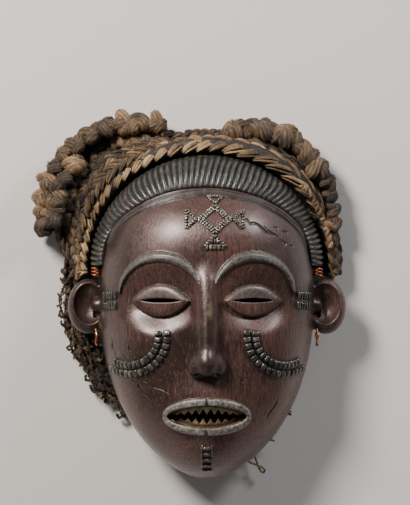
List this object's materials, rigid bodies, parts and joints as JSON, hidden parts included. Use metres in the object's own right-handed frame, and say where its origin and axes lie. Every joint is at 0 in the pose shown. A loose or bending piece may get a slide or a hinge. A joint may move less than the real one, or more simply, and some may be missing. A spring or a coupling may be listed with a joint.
{
  "type": "carved wooden face mask",
  "caption": "Hollow carved wooden dance mask with a fluted headband, ears, slit eyes and filed teeth, and a wig of plaited and knotted fibre.",
  "frame": {"origin": "bottom centre of the bounding box, on the surface that the open back lies on", "axes": "+Y from the chin to the crown, +Z out of the face (up, as the mask lies on its back), +X to a viewer's right"},
  "size_m": [0.2266, 0.2654, 0.1027],
  "materials": {
    "carved_wood": "satin, dark, rubbed",
    "fibre": "dry plant fibre",
    "copper": "worn copper wire"
  },
  "bodies": {
    "root": {"wooden_mask": "carved_wood", "hair_cap": "fibre", "front_plait": "fibre", "knotted_braid_left": "fibre", "knotted_braid_right": "fibre", "side_fringe": "fibre", "ear_wire_left": "copper", "ear_wire_right": "copper", "temple_wire_left": "copper", "temple_wire_right": "copper", "jaw_knot_upper": "fibre", "jaw_knot_lower": "fibre", "jaw_cord": "fibre"}
  },
  "joints": []
}
